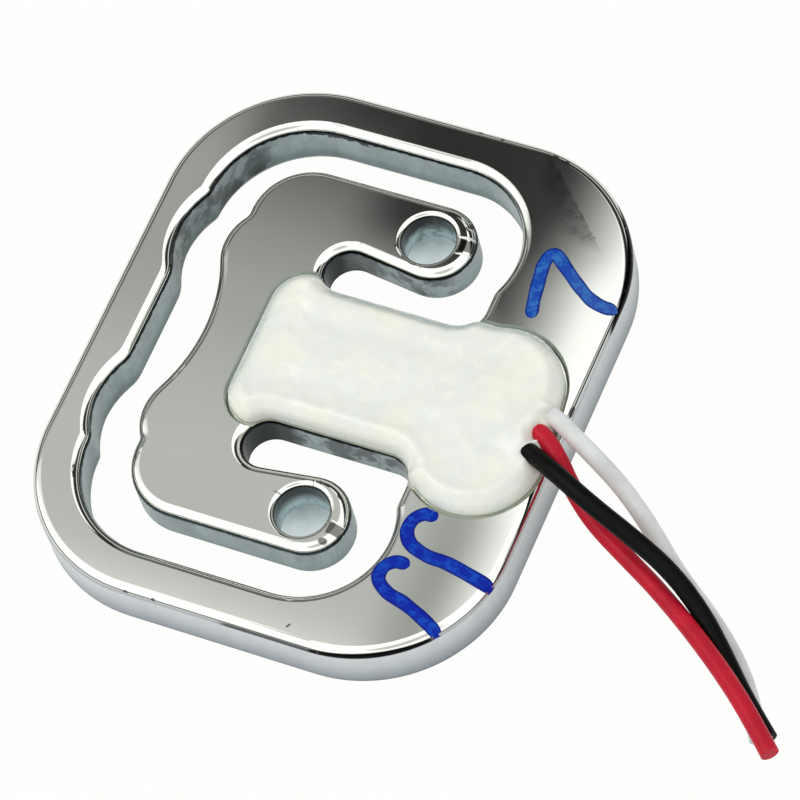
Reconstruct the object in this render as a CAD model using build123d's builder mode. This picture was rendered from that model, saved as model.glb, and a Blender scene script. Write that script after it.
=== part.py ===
from build123d import *
import math
import os

os.makedirs("parts", exist_ok=True)

# Half-bridge strain-gauge load cell stamped from one thick steel sheet.
# Millimetres, +Z up. The origin is the middle of the sheet's outline, on the plane that it stands on.
# X runs along the bending beam towards the leads, Y runs through the two mounting holes.

# Sheet outline
plate_length = 34.0
plate_width = 28.5
plate_thickness = 3.3
outer_corner = 8.5
edge_roll = 0.55
foot_break = 0.12
tear_width = 0.18
tear_height = 0.42

# Ring: its width at the two sides and at the back, and its inner edge
ring_side = 2.7
ring_back = 2.8
ring_left_corner = 5.8
ring_right_corner = 5.0
root_x = 6.95
root_step = 0.45
swell_radius = 5.0
swell_inset = 8.55
swell_rise = 0.75
swell_blend = 2.5

# Slot between the ring and the inner plate
slot_side = 2.6
slot_back = 2.09
slot_waist = 3.3
arm_gap = 2.09

# Inner plate, its two arms and the beam
inner_corner = 3.5
inner_corner_inset = 6.25
lobe_radius = 3.2
lobe_inset = 6.0
arm_radius = 2.46
beam_half = 4.38
root_blend = 1.5
slot_end_x = -1.56
slot_end_radius = 1.44
kink_round = 0.8

# Mounting holes
hole_radius = 1.575
hole_set_back = 0.35
hole_edge = 2.5
hole_roll = 0.28

# Underside: the inner plate and the beam stand clear of the surface under the ring
inner_clearance = 0.95
recess_corner = 4.0

# Coined pocket that the gauge and the sealant lie in
pocket_depth = 0.3
pocket_flare = 35.0
pocket_left = 5.1
pocket_over = 0.67
pocket_over_low = 1.47
pocket_corner = 2.1
lobe_blend = 1.2
far_lobe_inset = 4.75
far_lobe_y = 1.3
far_lobe_radius = 3.95
near_lobe_inset = 4.2
near_lobe_y = -2.85
near_lobe_radius = 3.95

# Sealant
seal_gap = 0.08
seal_rise = 1.0
seal_round = 0.85
seal_corner_round = 0.9

# Strain gauge, bonded to the pocket's floor
gauge_length = 8.6
gauge_margin = 1.58
gauge_x = -0.1
bond_thickness = 0.05
backing_thickness = 0.1
foil_thickness = 0.05
film_thickness = 0.08
grid_first = 0.45
grid_pitch = 0.52
grid_line = 0.26
grid_left = -3.9
grid_right = 0.9
tab_width = 1.05
tab_length = 1.6

# Leads
lead_diameter = 1.05
core_diameter = 0.5
solder_radius = 0.48
solder_round = 0.32
lead_pitch = 1.75
tab_x = 2.95

ring_half = plate_length / 2 - ring_side
ring_left = plate_width / 2 - ring_back
ring_right = root_x + root_step
swell_reach = ring_left + swell_rise
swell_y = ring_half - swell_inset
inner_half = ring_half - slot_side
lobe_reach = ring_left - slot_back
lobe_y = inner_half - lobe_inset
waist_reach = ring_left - slot_waist
inner_corner_x = inner_corner_inset - ring_left
arm_end_x = root_x - arm_gap - arm_radius
arm_end_y = inner_half - arm_radius
hole_x = arm_end_x - hole_set_back
hole_spacing = 2 * (inner_half - hole_edge)
recess_reach = ring_left - slot_back / 2
recess_half = ring_half - slot_side / 2
pocket_half = beam_half + pocket_over
pocket_low = -beam_half - pocket_over_low
far_lobe_x = plate_width / 2 - far_lobe_inset
near_lobe_x = plate_width / 2 - near_lobe_inset
gauge_width = 2 * (beam_half - gauge_margin)
pocket_floor = plate_thickness - pocket_depth
seal_top = plate_thickness + seal_rise


def circles_meet(ax, ay, ar, bx, by, br):
    # The left-hand point where two circles cross
    d = math.hypot(bx - ax, by - ay)
    a = (d * d + ar * ar - br * br) / (2 * d)
    h = math.sqrt(ar * ar - a * a)
    ux = (bx - ax) / d
    uy = (by - ay) / d
    one = (ax + a * ux - h * uy, ay + a * uy + h * ux)
    two = (ax + a * ux + h * uy, ay + a * uy - h * ux)
    return min(one, two)


def arc_between(cx, cy, radius, start, end, turn):
    # Arc of a known circle from one point to another, turn is 1 anticlockwise or -1 clockwise
    a0 = math.degrees(math.atan2(start[1] - cy, start[0] - cx))
    a1 = math.degrees(math.atan2(end[1] - cy, end[0] - cx))
    sweep_angle = (a1 - a0) % 360
    if turn < 0:
        sweep_angle -= 360
    middle = math.radians(a0 + sweep_angle / 2)
    through = (cx + radius * math.cos(middle), cy + radius * math.sin(middle))
    return ThreePointArc(start, through, end)


# Points of the slot's upper half, from the ring's left inner edge round to the inner plate's waist
corner_x = -ring_left + ring_left_corner
corner_y = ring_half - ring_left_corner
swell_x = -swell_reach + swell_radius
right_x = ring_right - ring_right_corner
right_y = ring_half - ring_right_corner

blend_x = -ring_left - swell_blend
blend_y = swell_y - math.sqrt((swell_radius + swell_blend) ** 2 - (swell_x - blend_x) ** 2)
share = swell_blend / (swell_radius + swell_blend)
swell_low = (blend_x + share * (swell_x - blend_x), blend_y + share * (swell_y - blend_y))
swell_high = circles_meet(corner_x, corner_y, ring_left_corner, swell_x, swell_y, swell_radius)
corner_top = (corner_x, ring_half)
right_top = (right_x, ring_half)
root_high = (root_x, right_y - math.sqrt(ring_right_corner**2 - (root_x - right_x) ** 2))
root_low = (root_x, beam_half + root_blend)
root_beam = (root_x - root_blend, beam_half)
slot_end_y = beam_half + slot_end_radius
slot_end_low = (slot_end_x, beam_half)

# The arm's lower edge is the line that touches the slot's round end and the arm's round end
ends_apart = math.hypot(arm_end_x - slot_end_x, arm_end_y - slot_end_y)
lean = math.atan2(arm_end_y - slot_end_y, arm_end_x - slot_end_x)
lean -= math.asin((arm_radius + slot_end_radius) / ends_apart)
slot_end_high = (
    slot_end_x - slot_end_radius * math.sin(lean),
    slot_end_y + slot_end_radius * math.cos(lean),
)
arm_low = (arm_end_x + arm_radius * math.sin(lean), arm_end_y - arm_radius * math.cos(lean))
arm_top = (arm_end_x, inner_half)

lobe_x = -lobe_reach + lobe_radius
waist_near = lobe_x + waist_reach
waist_radius = (lobe_y**2 + waist_near**2 - lobe_radius**2) / (2 * (lobe_radius - waist_near))
waist_x = -waist_reach - waist_radius
inner_corner_y = inner_half - inner_corner
inner_top = (inner_corner_x, inner_half)
lobe_high = circles_meet(
    inner_corner_x, inner_corner_y, inner_corner, lobe_x, lobe_y, lobe_radius
)
share = waist_radius / (waist_radius + lobe_radius)
lobe_low = (waist_x + share * (lobe_x - waist_x), share * lobe_y)

# Slot between the ring and the inner plate: one half, then its mirror image
with BuildSketch() as slot_outline:
    with BuildLine() as slot_edge:
        Line((-ring_left, 0), (-ring_left, blend_y))
        arc_between(blend_x, blend_y, swell_blend, (-ring_left, blend_y), swell_low, 1)
        arc_between(swell_x, swell_y, swell_radius, swell_low, swell_high, -1)
        arc_between(corner_x, corner_y, ring_left_corner, swell_high, corner_top, -1)
        Line(corner_top, right_top)
        arc_between(right_x, right_y, ring_right_corner, right_top, root_high, -1)
        Line(root_high, root_low)
        arc_between(root_x - root_blend, beam_half + root_blend, root_blend, root_low, root_beam, -1)
        Line(root_beam, slot_end_low)
        arc_between(slot_end_x, slot_end_y, slot_end_radius, slot_end_low, slot_end_high, -1)
        Line(slot_end_high, arm_low)
        arc_between(arm_end_x, arm_end_y, arm_radius, arm_low, arm_top, 1)
        Line(arm_top, inner_top)
        arc_between(inner_corner_x, inner_corner_y, inner_corner, inner_top, lobe_high, 1)
        arc_between(lobe_x, lobe_y, lobe_radius, lobe_high, lobe_low, 1)
        arc_between(waist_x, 0, waist_radius, lobe_low, (-waist_reach, 0), -1)
        mirror(about=Plane.XZ)
    make_face()
    kinks = [swell_high, root_high, lobe_high]
    kinks += [(x, -y) for x, y in kinks]
    fillet(
        [min(slot_outline.vertices(), key=lambda v: math.dist((v.X, v.Y), k)) for k in kinks],
        radius=kink_round,
    )

# Pocket's outline: a rounded head, the beam, and a wide lobe at the ring, a little off centre
head_x = pocket_left - pocket_corner
head_y = pocket_half - pocket_corner
far_meet = (
    far_lobe_x - math.sqrt(far_lobe_radius**2 - (pocket_half - far_lobe_y) ** 2),
    pocket_half,
)
near_meet = (
    near_lobe_x - math.sqrt(near_lobe_radius**2 - (pocket_low - near_lobe_y) ** 2),
    pocket_low,
)
lobes_apart = math.hypot(near_lobe_x - far_lobe_x, near_lobe_y - far_lobe_y)
side_lean = math.atan2(near_lobe_y - far_lobe_y, near_lobe_x - far_lobe_x) + math.pi / 2
side_lean += math.asin((far_lobe_radius - near_lobe_radius) / lobes_apart)
side_x = math.cos(side_lean)
side_y = math.sin(side_lean)
far_side = (far_lobe_x + far_lobe_radius * side_x, far_lobe_y + far_lobe_radius * side_y)
near_side = (near_lobe_x + near_lobe_radius * side_x, near_lobe_y + near_lobe_radius * side_y)
with BuildSketch() as pocket_outline:
    with BuildLine() as pocket_edge:
        Line((-pocket_left, -head_y), (-pocket_left, head_y))
        arc_between(-head_x, head_y, pocket_corner, (-pocket_left, head_y), (-head_x, pocket_half), -1)
        Line((-head_x, pocket_half), far_meet)
        arc_between(far_lobe_x, far_lobe_y, far_lobe_radius, far_meet, far_side, -1)
        Line(far_side, near_side)
        arc_between(near_lobe_x, near_lobe_y, near_lobe_radius, near_side, near_meet, -1)
        Line(near_meet, (near_meet[0] - root_blend, pocket_low))
        Line((near_meet[0] - root_blend, pocket_low), (near_meet[0] - 2 * root_blend, -pocket_half))
        Line((near_meet[0] - 2 * root_blend, -pocket_half), (-head_x, -pocket_half))
        arc_between(-head_x, -head_y, pocket_corner, (-head_x, -pocket_half), (-pocket_left, -head_y), -1)
    make_face()
    fillet(
        [min(pocket_outline.vertices(), key=lambda v: math.dist((v.X, v.Y), k)) for k in (far_meet, near_meet)],
        radius=lobe_blend,
    )

with BuildPart() as steel_plate:
    with BuildSketch():
        RectangleRounded(plate_width, plate_length, outer_corner)
        add(slot_outline.sketch, mode=Mode.SUBTRACT)
    extrude(amount=plate_thickness)
    fillet(steel_plate.faces().sort_by(Axis.Z)[-1].edges(), radius=edge_roll)
    under = steel_plate.faces().sort_by(Axis.Z)[0]
    chamfer(under.outer_wire().edges(), length=foot_break)
    # The punched slot breaks out wider at the ring's underside
    under = steel_plate.faces().sort_by(Axis.Z)[0]
    chamfer(under.inner_wires()[0].edges(), length=tear_width, length2=tear_height, reference=under)
    # Underside of the inner plate and the beam
    with BuildSketch():
        with Locations((-recess_reach, 0)):
            RectangleRounded(
                recess_reach + root_x, 2 * recess_half, recess_corner, align=(Align.MIN, Align.CENTER)
            )
    extrude(amount=inner_clearance, mode=Mode.SUBTRACT)
    # Pocket with a flared wall
    with BuildSketch(Plane.XY.offset(pocket_floor)):
        add(pocket_outline.sketch)
    extrude(amount=pocket_depth + 0.1, taper=-pocket_flare, mode=Mode.SUBTRACT)
    # Mounting holes, rolled over at the top like the outer edges
    with Locations((hole_x, hole_spacing / 2), (hole_x, -hole_spacing / 2)):
        with Locations((0, 0, plate_thickness)):
            Hole(hole_radius)
    rims = steel_plate.edges().filter_by(GeomType.CIRCLE).filter_by(
        lambda e: abs(e.radius - hole_radius) < 1e-6 and e.center().Z > plate_thickness - 0.01
    )
    fillet(rims, radius=hole_roll)
steel_plate.part.label = "steel_plate"
export_step(steel_plate.part, "parts/steel_plate.step")


# Bonded gauge: adhesive, backing, etched foil and the film over its grids
bond_top = pocket_floor + bond_thickness
backing_top = bond_top + backing_thickness
foil_top = backing_top + foil_thickness

with BuildPart() as gauge_bond:
    with BuildSketch(Plane.XY.offset(pocket_floor)):
        with Locations((gauge_x, 0)):
            RectangleRounded(gauge_length + 0.5, gauge_width + 0.5, 0.5)
    extrude(amount=bond_thickness)
gauge_bond.part.label = "gauge_bond"
export_step(gauge_bond.part, "parts/gauge_bond.step")

with BuildPart() as gauge_backing:
    with BuildSketch(Plane.XY.offset(bond_top)):
        with Locations((gauge_x, 0)):
            RectangleRounded(gauge_length, gauge_width, 0.2)
    extrude(amount=backing_thickness)
gauge_backing.part.label = "gauge_backing"
export_step(gauge_backing.part, "parts/gauge_backing.step")

# Two meandering grids that share the middle tab
grid_lines = 4
grid_y = [grid_first + grid_pitch * k for k in range(grid_lines)]
with BuildPart() as gauge_foil:
    with BuildSketch(Plane.XY.offset(backing_top)):
        for side in (1, -1):
            for k in range(grid_lines):
                with Locations(((grid_left + grid_right) / 2, side * grid_y[k])):
                    Rectangle(grid_right - grid_left, grid_line)
            for k in range(grid_lines - 1):
                turn_x = grid_left if k % 2 == 0 else grid_right
                with Locations((turn_x, side * (grid_y[k] + grid_pitch / 2))):
                    Rectangle(grid_line * 1.6, grid_pitch + grid_line)
            for y in (grid_y[0], grid_y[-1]):
                with Locations((grid_right, side * y)):
                    Rectangle(tab_x - grid_right, grid_line, align=(Align.MIN, Align.CENTER))
        for k in (-1, 0, 1):
            with Locations((tab_x, k * lead_pitch)):
                RectangleRounded(tab_length, tab_width, 0.15)
    extrude(amount=foil_thickness)
gauge_foil.part.label = "gauge_foil"
export_step(gauge_foil.part, "parts/gauge_foil.step")

with BuildPart() as gauge_film:
    with BuildSketch(Plane.XY.offset(foil_top)):
        with Locations(((grid_left + grid_right) / 2, 0)):
            RectangleRounded(grid_right - grid_left + 1.0, 2 * grid_y[-1] + 0.8, 0.2)
    extrude(amount=film_thickness)
gauge_film.part.label = "gauge_film"
export_step(gauge_film.part, "parts/gauge_film.step")

# Leads: each runs under the sealant, over the sheet's right edge and down to the surface
lead_start = tab_x + 2.25
lead_floor = pocket_floor + lead_diameter / 2 + 0.025
routes = {
    "red": [
        (lead_start, 0, lead_floor),
        (8.0, 0.05, lead_floor - 0.01),
        (10.6, -0.05, lead_floor + 0.01),
        (13.13, -0.73, 3.9),
        (14.58, -1.83, 3.81),
        (15.85, -3.13, 3.12),
        (17.68, -4.58, 2.6),
        (19.98, -5.81, 2.35),
        (22.48, -7.2, 2.4),
        (25.42, -9.22, 2.8),
        (28.12, -11.28, 3.08),
        (30.22, -13.08, 3.2),
        (32.08, -14.87, 3.25),
    ],
    "black": [
        (lead_start, -lead_pitch, lead_floor),
        (7.9, -1.62, lead_floor - 0.01),
        (10.5, -1.7, lead_floor + 0.01),
        (12.85, -2.04, 3.92),
        (15.31, -3.43, 4.9),
        (17.98, -4.62, 4.75),
        (20.52, -5.41, 4.05),
        (23.15, -6.45, 3.5),
        (25.5, -7.8, 2.7),
        (27.48, -9.52, 2.05),
        (29.37, -11.54, 1.9),
        (31.32, -13.5, 1.9),
    ],
    "white": [
        (lead_start, lead_pitch, lead_floor),
        (8.0, 1.6, lead_floor - 0.01),
        (10.9, 1.2, lead_floor),
        (13.46, 0.4, 3.92),
        (15.12, -0.52, 3.92),
        (16.69, -1.27, 3.55),
        (18.42, -2.06, 2.75),
        (20.57, -3.54, 1.95),
        (22.82, -5.47, 1.3),
        (24.92, -7.19, 0.85),
        (27.18, -9.16, 0.64),
        (29.01, -11.19, 0.63),
        (30.51, -13.2, 0.62),
    ],
}


def bend_radii(points):
    # Each bend's radius: 0.45 of the shorter run beside it, divided by the tangent of half the turn
    p = [Vector(*q) for q in points]
    radii = []
    for k in range(1, len(p) - 1):
        before = p[k] - p[k - 1]
        after = p[k + 1] - p[k]
        half = math.radians(before.get_angle(after)) / 2
        radii.append(0.45 * min(before.length, after.length) / math.tan(half))
    return radii


lead_rooms = {}
cores = {}
joint_rooms = {}
for colour, points in routes.items():
    radii = bend_radii(points)
    print(colour, "bend radii", [round(r, 1) for r in radii])
    with BuildPart() as lead:
        with BuildLine() as lead_path:
            FilletPolyline(*points, radius=radii)
        with BuildSketch(Plane(origin=lead_path.line @ 0, z_dir=lead_path.line % 0)):
            Circle(lead_diameter / 2)
            Circle(core_diameter / 2, mode=Mode.SUBTRACT)
        sweep()
    with BuildPart() as lead_room:
        with BuildSketch(Plane(origin=lead_path.line @ 0, z_dir=lead_path.line % 0)):
            Circle(lead_diameter / 2)
        sweep(path=lead_path.line)
    lead.part.label = "lead_" + colour
    export_step(lead.part, "parts/lead_" + colour + ".step")
    ring_area = math.pi * (lead_diameter**2 - core_diameter**2) / 4
    run = sum(edge.length for edge in lead_path.edges())
    print(colour, "length", round(run, 2), "volume ratio", round(lead.part.volume / (ring_area * run), 4))

    # The core starts bare on its solder joint, in line with the lead's first run
    first = Vector(*points[0])
    back = (first - Vector(*points[1])).normalized() * 1.95
    bare = first + back
    with BuildPart() as core:
        with BuildLine() as core_path:
            FilletPolyline(bare, *points[1:], radius=radii)
        with BuildSketch(Plane(origin=core_path.line @ 0, z_dir=core_path.line % 0)):
            Circle(core_diameter / 2)
        sweep()
    core.part.label = "core_" + colour
    export_step(core.part, "parts/core_" + colour + ".step")

    # Solder: a low dome on the tab round the core's end
    dome_height = bare.Z - foil_top + core_diameter / 2 + 0.1
    with BuildPart() as joint_room:
        with BuildSketch(Plane(origin=(tab_x, points[0][1], foil_top), x_dir=(0, 1, 0), z_dir=(0, 0, 1))):
            Circle(solder_radius)
        extrude(amount=dome_height)
        fillet(joint_room.faces().sort_by(Axis.Z)[-1].edges(), radius=solder_round)
    with BuildPart() as solder:
        add(joint_room.part)
        add(core.part, mode=Mode.SUBTRACT)
    solder.part.label = "solder_" + colour
    export_step(solder.part, "parts/solder_" + colour + ".step")
    lead_rooms[colour] = lead_room
    cores[colour] = core
    joint_rooms[colour] = joint_room

# Sealant: fills the pocket, covers the gauge and the joints, and grips the leads
with BuildPart() as sealant:
    with BuildSketch(Plane.XY.offset(pocket_floor)) as seal_outline:
        add(pocket_outline.sketch)
        offset(amount=-0.06)
        with BuildSketch(Plane.XY.offset(pocket_floor), mode=Mode.PRIVATE) as slot_clear:
            add(slot_outline.sketch)
            offset(amount=seal_gap)
        add(slot_clear.sketch, mode=Mode.SUBTRACT)
        # Every outward corner gets a round of its own
        offset(amount=-seal_corner_round)
        offset(amount=seal_corner_round)
    extrude(amount=seal_top - pocket_floor)
    fillet(sealant.faces().sort_by(Axis.Z)[-1].edges(), radius=seal_round)
    for piece in (gauge_bond, gauge_backing, gauge_foil, gauge_film):
        add(piece.part, mode=Mode.SUBTRACT)
    for colour in routes:
        add(lead_rooms[colour].part, mode=Mode.SUBTRACT)
        add(cores[colour].part, mode=Mode.SUBTRACT)
        add(joint_rooms[colour].part, mode=Mode.SUBTRACT)
sealant.part.label = "sealant"
export_step(sealant.part, "parts/sealant.step")
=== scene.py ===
import math

import bmesh
import bpy
from mathutils import Matrix, Vector, kdtree, noise
from mathutils.bvhtree import BVHTree


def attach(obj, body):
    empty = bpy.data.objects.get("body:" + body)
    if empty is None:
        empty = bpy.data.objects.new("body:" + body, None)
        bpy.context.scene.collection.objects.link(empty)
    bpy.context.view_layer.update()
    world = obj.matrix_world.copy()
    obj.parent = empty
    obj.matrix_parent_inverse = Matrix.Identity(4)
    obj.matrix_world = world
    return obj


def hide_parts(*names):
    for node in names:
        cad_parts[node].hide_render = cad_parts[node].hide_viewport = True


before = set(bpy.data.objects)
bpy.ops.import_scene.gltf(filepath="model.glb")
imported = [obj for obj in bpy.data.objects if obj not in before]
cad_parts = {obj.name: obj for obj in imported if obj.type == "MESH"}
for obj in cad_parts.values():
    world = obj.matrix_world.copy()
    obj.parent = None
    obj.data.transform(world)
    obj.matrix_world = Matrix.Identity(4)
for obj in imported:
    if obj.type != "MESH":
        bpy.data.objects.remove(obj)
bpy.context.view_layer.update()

bl_info = {
    "name": "Sheet Load Cell",
    "version": (1, 0, 0),
    "blender": (4, 5, 0),
    "location": "View3D > Sidebar > Load Cell",
    "description": "Dresses a stamped steel load cell with its sealant, leads and studio",
    "category": "Object",
}

MM = 0.001
UP = Vector((0.0, 0.0, 1.0))

# Middles of the sheet's rounded corners and of its two holes, for x and y above 0, in millimetres
CORNER = (5.75, 8.5)
HOLE = (2.2, 9.2)

# Routes of the three leads, in millimetres, from the sealed joints to the cut ends
ROUTES = {
    "red": [
        (5.2, 0.0, 3.55),
        (8.0, 0.05, 3.54),
        (10.6, -0.05, 3.56),
        (13.13, -0.73, 3.9),
        (14.58, -1.83, 3.81),
        (15.85, -3.13, 3.12),
        (17.68, -4.58, 2.6),
        (19.98, -5.81, 2.35),
        (22.48, -7.2, 2.4),
        (25.42, -9.22, 2.8),
        (28.12, -11.28, 3.08),
        (30.22, -13.08, 3.2),
        (32.08, -14.89, 3.25),
    ],
    "black": [
        (5.2, -1.75, 3.55),
        (7.9, -1.62, 3.54),
        (10.5, -1.7, 3.56),
        (12.85, -2.04, 3.92),
        (15.31, -3.43, 4.9),
        (17.98, -4.62, 4.75),
        (20.52, -5.41, 4.05),
        (23.15, -6.45, 3.5),
        (25.43, -7.9, 2.62),
        (27.36, -9.7, 2.02),
        (29.25, -11.68, 1.9),
        (31.33, -13.51, 1.9),
    ],
    "white": [
        (5.2, 1.75, 3.55),
        (8.0, 1.6, 3.54),
        (10.9, 1.2, 3.55),
        (13.46, 0.4, 3.92),
        (15.12, -0.52, 3.92),
        (16.69, -1.27, 3.55),
        (18.42, -2.06, 2.75),
        (20.57, -3.54, 1.95),
        (22.82, -5.47, 1.3),
        (25.1, -6.95, 0.85),
        (27.42, -8.85, 0.64),
        (29.2, -10.98, 0.63),
        (30.52, -13.22, 0.62),
    ],
}
SHINE = {"red": 0.18, "black": 0.07, "white": 0.3}

# Way across the sheet in which the sealant thins out
FAR_WAY = (-0.62, 0.785)

# Where the sealant rises round the leads: middle, height and spreads, in millimetres
MOUNDS = (
    (12.35, -1.2, 0.34, 1.0, 1.9),
    (13.0, 0.3, 0.20, 0.8, 0.9),
    (9.6, -0.8, 0.12, 2.2, 1.7),
)

# How far along x the sealant clings to each lead, and how thick round it, in millimetres
GRIP_ENDS = {"red": 12.65, "black": 12.5, "white": 13.05}
GRIP_RADIUS = 0.58

# Marker strokes on the sheet's top, in millimetres: a tick and two hooks
STROKES = (
    [
        (9.66, 6.13), (9.38, 7.28), (9.16, 8.58), (9.04, 9.78), (9.38, 10.44),
        (10.33, 9.77), (11.4, 8.94), (12.39, 8.3), (13.29, 8.03), (14.14, 8.03),
    ],
    [
        (14.2, -10.45), (12.73, -10.08), (11.13, -9.75), (9.91, -9.67), (8.76, -9.27),
        (8.24, -8.57), (8.31, -7.78), (8.89, -7.26), (9.6, -7.45),
    ],
    [
        (12.42, -13.98), (11.07, -13.28), (9.79, -12.76), (8.69, -12.45), (7.9, -11.85),
        (7.85, -11.1), (8.41, -10.54), (9.22, -10.56),
    ],
)
STROKE_STEP = 0.08 * MM

# Corners where the painted dark band on the sheet's rolled edge reaches deeper: side in x and in
# y, the middle and the half width of the stretch in degrees round the corner, and its depth in
# millimetres
PAINTED_ROLL_BANDS = (
    (1.0, 1.0, 16.0, 32.0, 0.24),
    (1.0, -1.0, 66.0, 26.0, 0.09),
    (-1.0, 1.0, 24.0, 22.0, 0.12),
)

# Small marks on the top face: middle and half sizes in millimetres, turn in degrees, then a dark
# or a bright oval, or a dark panel with square corners; the bright ovals are painted highlights
MARKS = (
    (4.40, 9.40, 0.45, 0.36, 8, "panel"),
    (4.12, 10.82, 0.17, 0.26, -11, "dark"),
    (3.64, 10.81, 0.48, 0.055, -43, "bright"),
    (4.32, 10.46, 0.38, 0.055, -7, "bright"),
    (4.24, 9.90, 0.62, 0.085, 5, "bright"),
    (4.40, 8.86, 0.52, 0.07, 9, "bright"),
    (0.74, 7.92, 0.36, 0.06, -42, "bright"),
    (0.52, 8.10, 0.25, 0.05, -42, "dark"),
    (4.29, -9.77, 0.40, 0.33, -3, "panel"),
    (3.96, -10.62, 0.26, 0.20, 12, "dark"),
    (4.37, -9.35, 0.48, 0.055, -10, "bright"),
    (4.36, -9.46, 0.46, 0.035, -10, "dark"),
    (0.38, -8.61, 0.32, 0.04, -6, "dark"),
    (2.02, -7.40, 0.19, 0.035, -75, "dark"),
    (2.10, -7.38, 0.19, 0.035, -75, "bright"),
    (2.41, -7.31, 0.16, 0.035, -77, "dark"),
    (4.25, -16.05, 0.07, 0.17, -30, "dark"),
    (2.20, 16.72, 0.16, 0.09, 0, "dark"),
    (3.60, 16.66, 0.12, 0.10, 0, "dark"),
    (7.00, 16.52, 0.20, 0.08, -8, "dark"),
    (7.75, 16.36, 0.14, 0.09, -12, "dark"),
    (-5.40, -16.92, 0.16, 0.08, 0, "dark"),
    (-3.70, -16.88, 0.12, 0.07, 0, "dark"),
    (14.10, 1.30, 0.13, 0.34, 0, "dark"),
)

# Colours up the sheet's walls, from 0 at the bottom to 1 at the top, darker towards the bottom as
# painted shade
OUTER_WALL_PAINTED_SHADE = (
    (0.02, (0.20, 0.22, 0.24)),
    (0.10, (0.36, 0.39, 0.41)),
    (0.5, (0.62, 0.65, 0.66)),
    (0.8, (0.74, 0.76, 0.76)),
)
SLOT_WALL_PAINTED_SHADE = (
    (0.08, (0.20, 0.25, 0.25)),
    (0.24, (0.25, 0.31, 0.31)),
    (0.42, (0.36, 0.43, 0.43)),
    (0.8, (0.42, 0.48, 0.48)),
)

# The camera's place in metres, its sideways, upward and backward ways, and its lens in millimetres
CAMERA_PLACE = (0.097602, -0.119113, 0.252072)
CAMERA_WAYS = (
    (0.90939, 0.38512, -0.15711),
    (-0.26581, 0.82864, 0.49265),
    (0.31992, -0.40625, 0.85593),
)
CAMERA_LENS = 234.08

# The studio's ceiling: its height over the sheet and the middle of the room, in millimetres
CEILING = 248.8
ROOM_MIDDLE = (97.6, -119.1)

# Brightness along the ceiling, from 0 at y -30 mm to 1 at y 30 mm, over the sheet and to its left
CEILING_SHADES = (
    (0.0, 0.80),
    (0.20, 0.71),
    (0.228, 0.64),
    (0.238, 0.55),
    (0.25, 0.492),
    (0.275, 0.47),
    (0.317, 0.462),
    (0.367, 0.474),
    (0.45, 0.430),
    (0.517, 0.361),
    (0.55, 0.345),
    (0.6, 0.291),
    (0.633, 0.236),
    (0.65, 0.202),
    (0.683, 0.150),
    (0.725, 0.078),
    (0.767, 0.032),
    (1.0, 0.022),
)
LEFT_SHADES = ((0.0, 0.5), (0.68, 0.5), (0.72, 0.40), (0.77, 0.30), (0.9, 0.2))

# Brightness of the white wall on the leads' side, from 0 at x 0 mm to 1 at x 16 mm
WALL_SHADES = (
    (0.47, 0.0),
    (0.53, 0.04),
    (0.5625, 0.09),
    (0.625, 0.19),
    (0.6875, 0.37),
    (0.75, 0.58),
    (0.8125, 0.93),
    (0.875, 1.0),
)


class LoadCellPlate(bpy.types.PropertyGroup):
    steel: bpy.props.FloatVectorProperty(
        name="Steel", description="Colour of the bright plated steel", subtype="COLOR",
        size=3, min=0, max=1, default=(0.83, 0.85, 0.79),
    )
    gloss: bpy.props.FloatProperty(
        name="Roughness", description="How much the steel blurs what it mirrors",
        min=0, max=1, default=0.035, subtype="FACTOR",
    )
    top: bpy.props.FloatProperty(
        name="Thickness", description="Height of the sheet's top face", unit="LENGTH",
        default=3.3 * MM,
    )


class LoadCellSealant(bpy.types.PropertyGroup):
    colour: bpy.props.FloatVectorProperty(
        name="Sealant", description="Colour of the cured sealant", subtype="COLOR",
        size=3, min=0, max=1, default=(0.905, 0.913, 0.81),
    )
    voxel: bpy.props.FloatProperty(
        name="Detail", description="Size of the facets of the sealant's skin", unit="LENGTH",
        default=0.11 * MM,
    )


class LoadCellLeads(bpy.types.PropertyGroup):
    diameter: bpy.props.FloatProperty(
        name="Diameter", description="Outer diameter of each lead", unit="LENGTH",
        default=1.05 * MM,
    )
    red: bpy.props.FloatVectorProperty(
        name="Red", description="Colour of the red sleeve", subtype="COLOR", size=3,
        min=0, max=1, default=(0.60, 0.010, 0.032),
    )
    black: bpy.props.FloatVectorProperty(
        name="Black", description="Colour of the black sleeve", subtype="COLOR", size=3,
        min=0, max=1, default=(0.004, 0.005, 0.004),
    )
    white: bpy.props.FloatVectorProperty(
        name="White", description="Colour of the white sleeve", subtype="COLOR", size=3,
        min=0, max=1, default=(0.86, 0.885, 0.86),
    )


class LoadCellInk(bpy.types.PropertyGroup):
    colour: bpy.props.FloatVectorProperty(
        name="Ink", description="Colour of the marker strokes", subtype="COLOR", size=3,
        min=0, max=1, default=(0.002, 0.020, 0.38),
    )
    width: bpy.props.FloatProperty(
        name="Width", description="Width of a marker stroke", unit="LENGTH", default=0.82 * MM,
    )


class LoadCellStage(bpy.types.PropertyGroup):
    floor: bpy.props.FloatVectorProperty(
        name="Floor", description="Colour of the floor", subtype="COLOR", size=3,
        min=0, max=1, default=(0.80, 0.84, 0.87),
    )


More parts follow.
